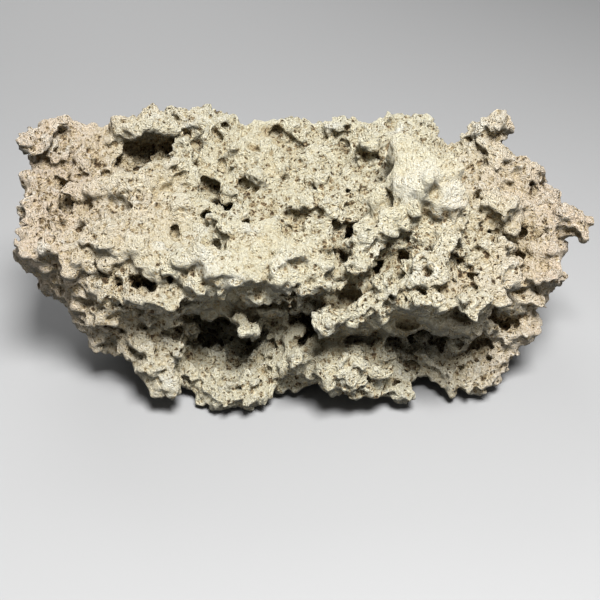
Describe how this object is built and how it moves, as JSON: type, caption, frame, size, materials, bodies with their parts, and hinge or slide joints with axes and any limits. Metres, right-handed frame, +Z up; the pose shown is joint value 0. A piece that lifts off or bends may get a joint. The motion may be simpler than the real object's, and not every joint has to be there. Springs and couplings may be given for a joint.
{
  "type": "lava rock",
  "caption": "Weathered, holey lump of pale rock with a jutting ledge and caves under it; stands on its own worn feet in an aquarium or rockery.",
  "frame": {"origin": "under the middle of the stone's bounding box, on the surface that it rests on", "axes": "+X along the stone, to the right as its broad face is seen; -Y is the broad, weathered face with the ledge; +Z up"},
  "size_m": [0.2978, 0.1676, 0.1281],
  "materials": {
    "pale_stone": "matte"
  },
  "bodies": {
    "root": {"lava_rock": "pale_stone"}
  },
  "joints": []
}
